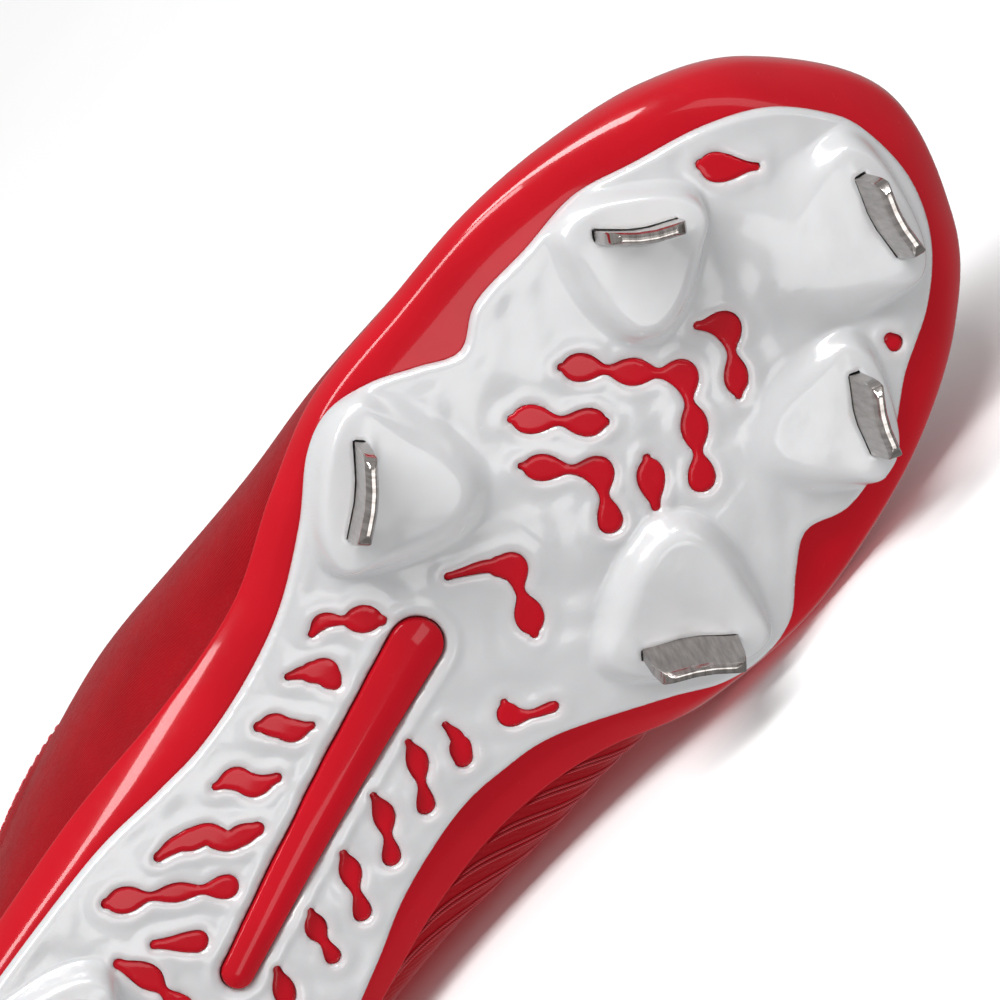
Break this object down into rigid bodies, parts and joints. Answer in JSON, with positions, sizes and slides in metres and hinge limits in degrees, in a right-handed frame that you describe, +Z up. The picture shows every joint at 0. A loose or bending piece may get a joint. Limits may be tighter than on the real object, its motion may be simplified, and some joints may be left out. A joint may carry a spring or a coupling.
{
  "type": "baseball cleat",
  "caption": "Low-cut right sports shoe with a red gloss base, hollow laced upper and a white moulded sole plate holding bowed steel blade studs.",
  "frame": {"origin": "centre of the bounding box at floor level, the shoe lying on its inner side", "axes": "+X towards the toe, -Y out of the sole, +Z up towards the outer side"},
  "size_m": [0.2914, 0.119, 0.1043],
  "materials": {
    "upper": "satin synthetic leather",
    "red_gloss": "gloss",
    "white_plate": "gloss",
    "liner": "matt",
    "tongue_cloth": "matt",
    "lace_cord": "matt",
    "steel": "polished"
  },
  "bodies": {
    "root": {"upper": "upper", "base_tray": "red_gloss", "arch_rib": "red_gloss", "outsole_plate": "white_plate", "insole": "liner", "tongue": "tongue_cloth", "lace": "lace_cord", "stud_fore_lateral": "steel", "stud_toe": "steel", "stud_fore_medial": "steel", "stud_ball_lateral": "steel", "stud_ball_medial": "steel", "stud_heel_front_lateral": "steel", "stud_heel_front_medial": "steel", "stud_heel_back_lateral": "steel", "stud_heel_back_medial": "steel"}
  },
  "joints": []
}
